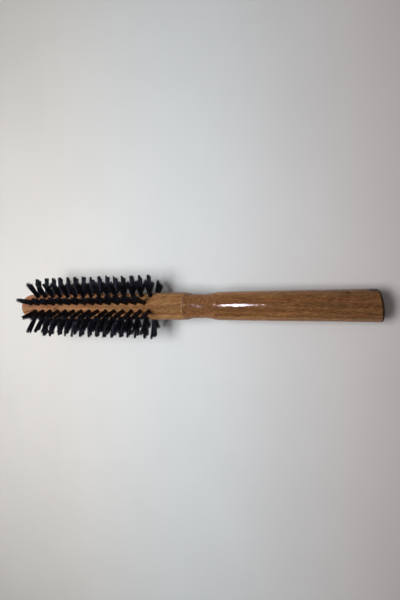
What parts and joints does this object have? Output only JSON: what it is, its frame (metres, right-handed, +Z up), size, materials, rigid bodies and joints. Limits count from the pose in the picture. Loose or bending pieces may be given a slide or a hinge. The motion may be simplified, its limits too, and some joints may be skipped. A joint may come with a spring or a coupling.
{
  "type": "round barrel hair brush",
  "caption": "Round hair brush: straight wooden barrel with staggered rows of dark bristle tufts all round, dowelled to a waisted, lacquered wooden handle.",
  "frame": {"origin": "centre of the bounding box, which is on the barrel's axis half way along the brush's length", "axes": "+X along the axis from the bristle tip to the handle's end; +Z up, in the groove between tuft_row_01 and tuft_row_10"},
  "size_m": [0.23, 0.0396, 0.0386],
  "materials": {
    "barrel_wood": "oiled, satin",
    "handle_wood": "clear lacquer, gloss",
    "dowel_wood": "bare, matt",
    "bristle": "dark bristle with a slight sheen"
  },
  "bodies": {
    "root": {"barrel": "barrel_wood", "handle": "handle_wood", "dowel": "dowel_wood", "tuft_row_01": "bristle", "tuft_row_02": "bristle", "tuft_row_03": "bristle", "tuft_row_04": "bristle", "tuft_row_05": "bristle", "tuft_row_06": "bristle", "tuft_row_07": "bristle", "tuft_row_08": "bristle", "tuft_row_09": "bristle", "tuft_row_10": "bristle"}
  },
  "joints": []
}
